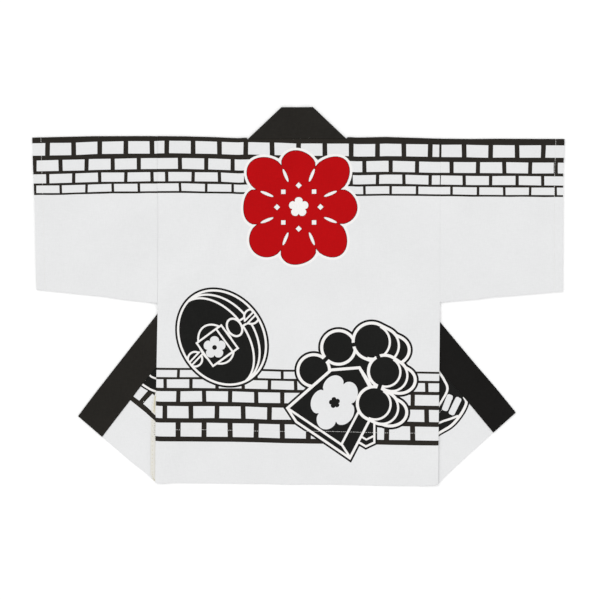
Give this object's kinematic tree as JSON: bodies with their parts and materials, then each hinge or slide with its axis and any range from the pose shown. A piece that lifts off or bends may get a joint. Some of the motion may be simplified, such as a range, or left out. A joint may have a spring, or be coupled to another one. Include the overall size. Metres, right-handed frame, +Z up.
{
  "type": "happi coat",
  "caption": "Short festival coat with straight tube sleeves and a folded collar band, laid flat back upwards with both fronts folded out underneath at a slant.",
  "frame": {"origin": "centre of the coat's bounding box, at the surface it lies on", "axes": "+X towards the coat's right sleeve, +Y towards the neck, +Z up, away from the surface"},
  "size_m": [1.224, 0.87, 0.0066],
  "materials": {
    "printed_cotton": "matt plain-weave cotton, screen printed in black and red",
    "collar_cotton": "matt black cotton, folded over several layers",
    "stitching": "spun sewing thread"
  },
  "bodies": {
    "root": {"back": "printed_cotton", "front_left": "printed_cotton", "front_right": "printed_cotton", "sleeve_left": "printed_cotton", "sleeve_right": "printed_cotton", "collar": "collar_cotton"}
  },
  "joints": []
}
